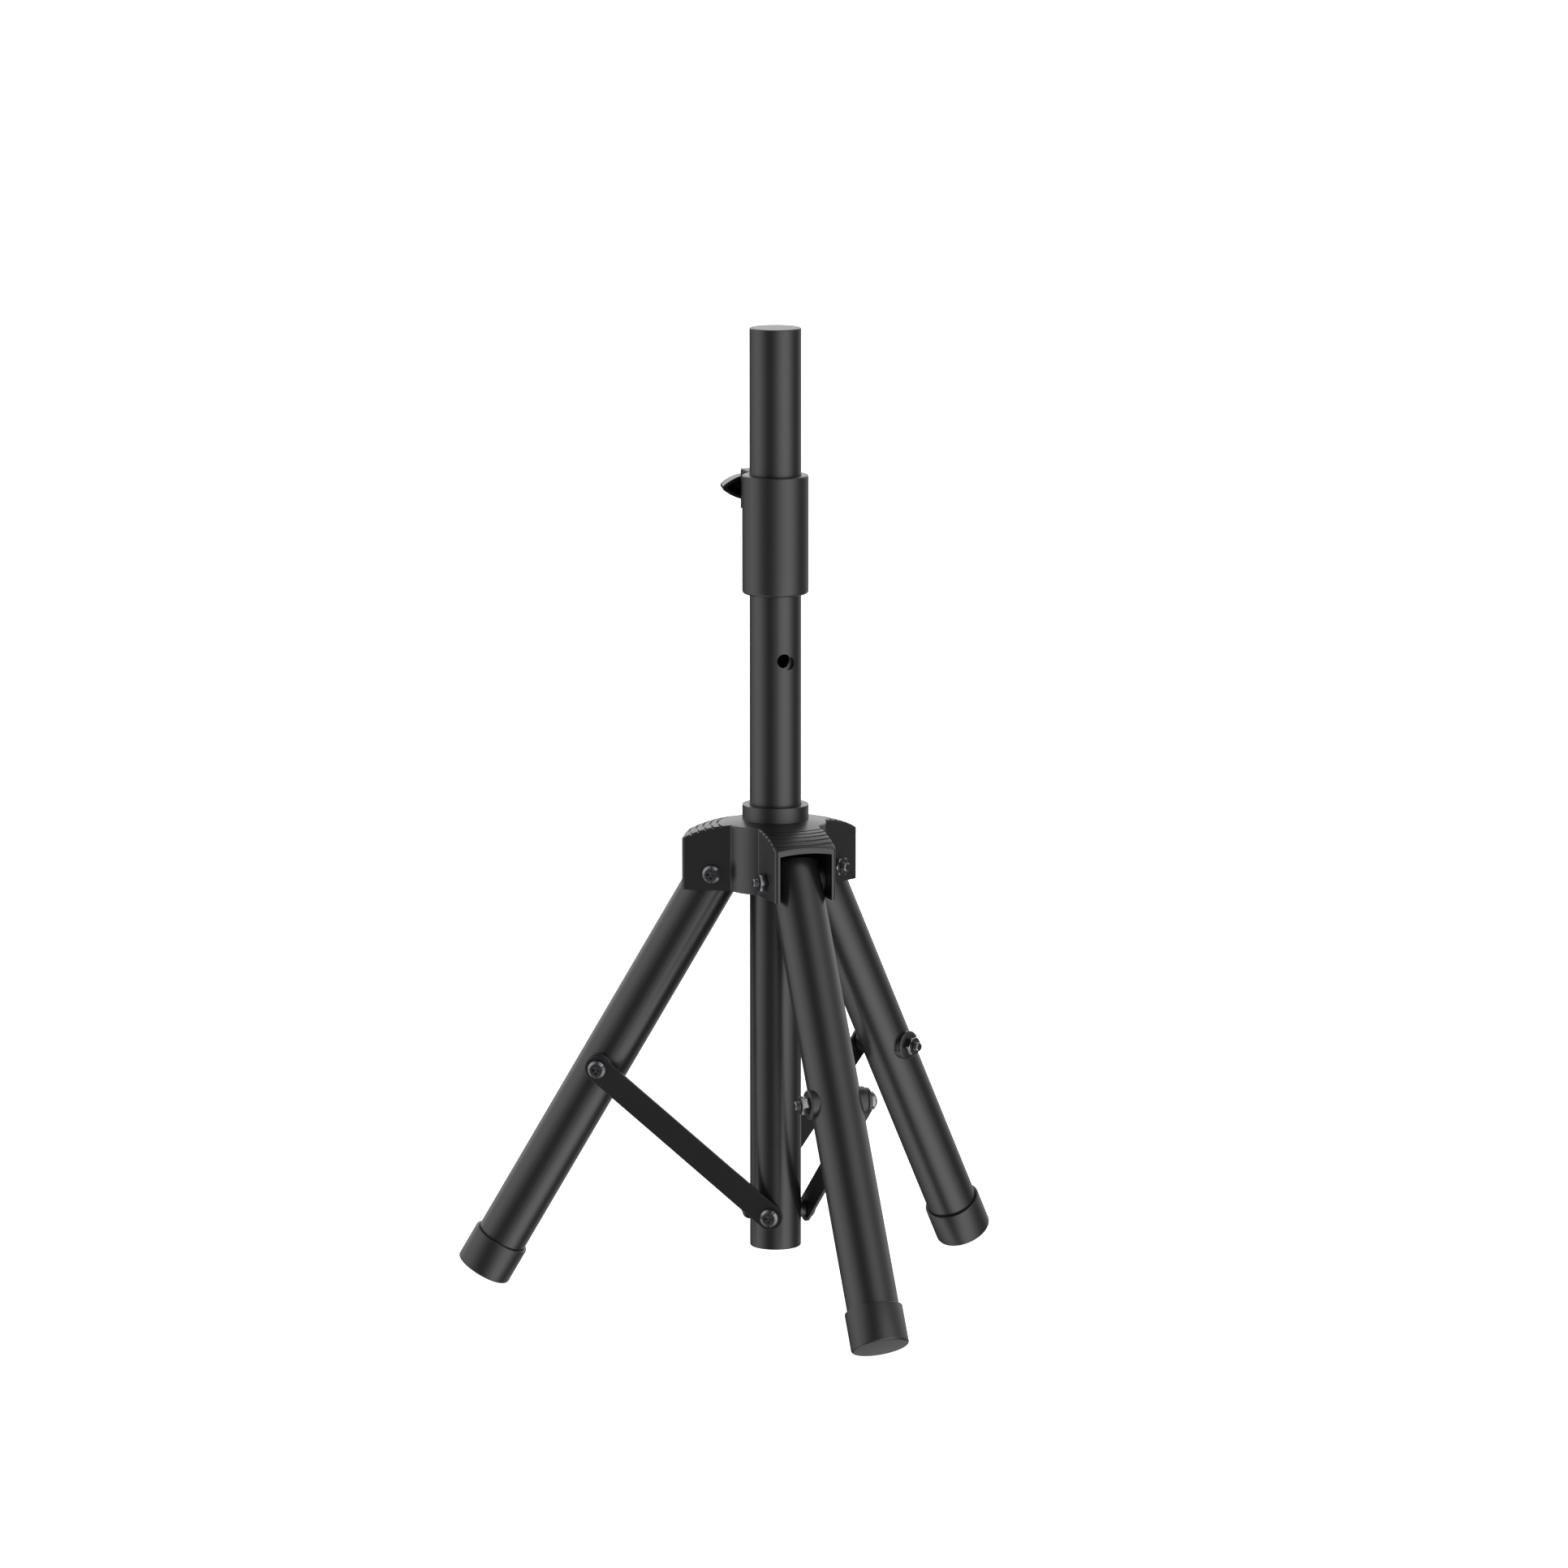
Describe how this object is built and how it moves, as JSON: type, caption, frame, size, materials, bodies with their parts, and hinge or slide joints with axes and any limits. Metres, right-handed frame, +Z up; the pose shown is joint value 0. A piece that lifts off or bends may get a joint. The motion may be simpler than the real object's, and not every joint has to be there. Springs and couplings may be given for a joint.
{
  "type": "speaker tripod stand",
  "caption": "Short speaker stand: a telescoping pole with a clamp collar, a sliding hub and folding legs braced by flat struts.",
  "frame": {"origin": "on the pole's axis, at the floor", "axes": "+Z up the pole, -Y along the leg opposite the clamp knob, +Y towards the clamp knob"},
  "size_m": [0.3898, 0.3428, 0.6664],
  "materials": {
    "black_powder_coat": "satin",
    "black_plastic": "satin",
    "black_rubber": "matt",
    "black_zinc_steel": "satin",
    "brass": "satin",
    "zinc_steel": "satin"
  },
  "bodies": {
    "column": {"centre_tube": "black_powder_coat", "column_bottom_plug": "black_plastic", "clamp_collar": "black_plastic", "collar_insert": "brass", "strut_spacers": "black_plastic", "rivet_nuts": "zinc_steel"},
    "pole": {"inner_pole": "black_powder_coat", "speaker_spigot": "black_powder_coat", "pole_top_cap": "black_plastic", "pole_end_plug": "black_plastic"},
    "clamp_shoe": {"clamp_pad": "black_plastic"},
    "clamp_handle": {"clamp_knob": "black_plastic", "clamp_screw": "black_zinc_steel"},
    "hub": {"hub_housing": "black_plastic", "hub_bushing": "black_plastic", "hub_insert": "brass", "leg_pivot_bolts": "black_zinc_steel", "leg_pivot_nuts": "black_zinc_steel"},
    "lock_shoe": {"lock_pad": "black_plastic"},
    "lock_handle": {"lock_knob": "black_plastic", "lock_screw": "black_zinc_steel"},
    "leg_1": {"leg_tube_1": "black_powder_coat", "leg_top_insert_1": "black_plastic", "pivot_saddles_1": "black_plastic", "foot_cap_1": "black_rubber", "strut_saddle_1": "black_plastic", "nut_saddle_1": "black_plastic", "strut_bolt_1": "black_zinc_steel", "strut_nut_1": "black_zinc_steel"},
    "strut_1": {"strut_bar_1": "black_powder_coat", "strut_screw_1": "black_zinc_steel"},
    "leg_2": {"leg_tube_2": "black_powder_coat", "leg_top_insert_2": "black_plastic", "pivot_saddles_2": "black_plastic", "foot_cap_2": "black_rubber", "strut_saddle_2": "black_plastic", "nut_saddle_2": "black_plastic", "strut_bolt_2": "black_zinc_steel", "strut_nut_2": "black_zinc_steel"},
    "strut_2": {"strut_bar_2": "black_powder_coat", "strut_screw_2": "black_zinc_steel"},
    "leg_3": {"leg_tube_3": "black_powder_coat", "leg_top_insert_3": "black_plastic", "pivot_saddles_3": "black_plastic", "foot_cap_3": "black_rubber", "strut_saddle_3": "black_plastic", "nut_saddle_3": "black_plastic", "strut_bolt_3": "black_zinc_steel", "strut_nut_3": "black_zinc_steel"},
    "strut_3": {"strut_bar_3": "black_powder_coat", "strut_screw_3": "black_zinc_steel"}
  },
  "joints": [
    {"name": "pole_slide", "type": "slide", "parent": "column", "child": "pole", "axis": [0, 0, 1], "range_m": [0, 0.34]},
    {"name": "clamp_pad_travel", "type": "slide", "parent": "column", "child": "clamp_shoe", "axis": [0, 1, 0], "range_m": [0, 0.00125]},
    {"name": "clamp_knob_turn", "type": "hinge", "parent": "clamp_shoe", "child": "clamp_handle", "pos_m": [0, 0.05, 0.5538], "axis": [0, -1, 0], "range_deg": [0, 360]},
    {"name": "hub_slide", "type": "slide", "parent": "column", "child": "hub", "axis": [0, 0, 1], "range_m": [0, 0.07058]},
    {"name": "lock_pad_travel", "type": "slide", "parent": "hub", "child": "lock_shoe", "axis": [0, 1, 0], "range_m": [0, 0.00125]},
    {"name": "lock_knob_turn", "type": "hinge", "parent": "lock_shoe", "child": "lock_handle", "pos_m": [0, 0.05, 0.31006], "axis": [0, -1, 0], "range_deg": [0, 360]},
    {"name": "leg_1_fold", "type": "hinge", "parent": "hub", "child": "leg_1", "pos_m": [0, -0.04, 0.29606], "axis": [1, 0, 0], "range_deg": [0, 28.01]},
    {"name": "strut_1_fold", "type": "hinge", "parent": "leg_1", "child": "strut_1", "pos_m": [0, -0.1196, 0.15819], "axis": [1, 0, 0], "range_deg": [-61.28, 0]},
    {"name": "leg_2_fold", "type": "hinge", "parent": "hub", "child": "leg_2", "pos_m": [0.03464, 0.02, 0.29606], "axis": [-0.5, 0.866, 0], "range_deg": [0, 28.01]},
    {"name": "strut_2_fold", "type": "hinge", "parent": "leg_2", "child": "strut_2", "pos_m": [0.10358, 0.0598, 0.15819], "axis": [-0.5, 0.866, 0], "range_deg": [-61.28, 0]},
    {"name": "leg_3_fold", "type": "hinge", "parent": "hub", "child": "leg_3", "pos_m": [-0.03464, 0.02, 0.29606], "axis": [-0.5, -0.866, 0], "range_deg": [0, 28.01]},
    {"name": "strut_3_fold", "type": "hinge", "parent": "leg_3", "child": "strut_3", "pos_m": [-0.10358, 0.0598, 0.15819], "axis": [-0.5, -0.866, 0], "range_deg": [-61.28, 0]}
  ],
  "couplings": [
    {"joint": "clamp_pad_travel", "follows": "clamp_knob_turn", "m_per_rad": 0.00019894},
    {"joint": "lock_pad_travel", "follows": "lock_knob_turn", "m_per_rad": 0.00019894},
    {"joint": "leg_1_fold", "follows": "hub_slide", "rad_per_m": 6.9237},
    {"joint": "strut_1_fold", "follows": "hub_slide", "rad_per_m": -15.151},
    {"joint": "leg_2_fold", "follows": "hub_slide", "rad_per_m": 6.9237},
    {"joint": "strut_2_fold", "follows": "hub_slide", "rad_per_m": -15.151},
    {"joint": "leg_3_fold", "follows": "hub_slide", "rad_per_m": 6.9237},
    {"joint": "strut_3_fold", "follows": "hub_slide", "rad_per_m": -15.151}
  ]
}
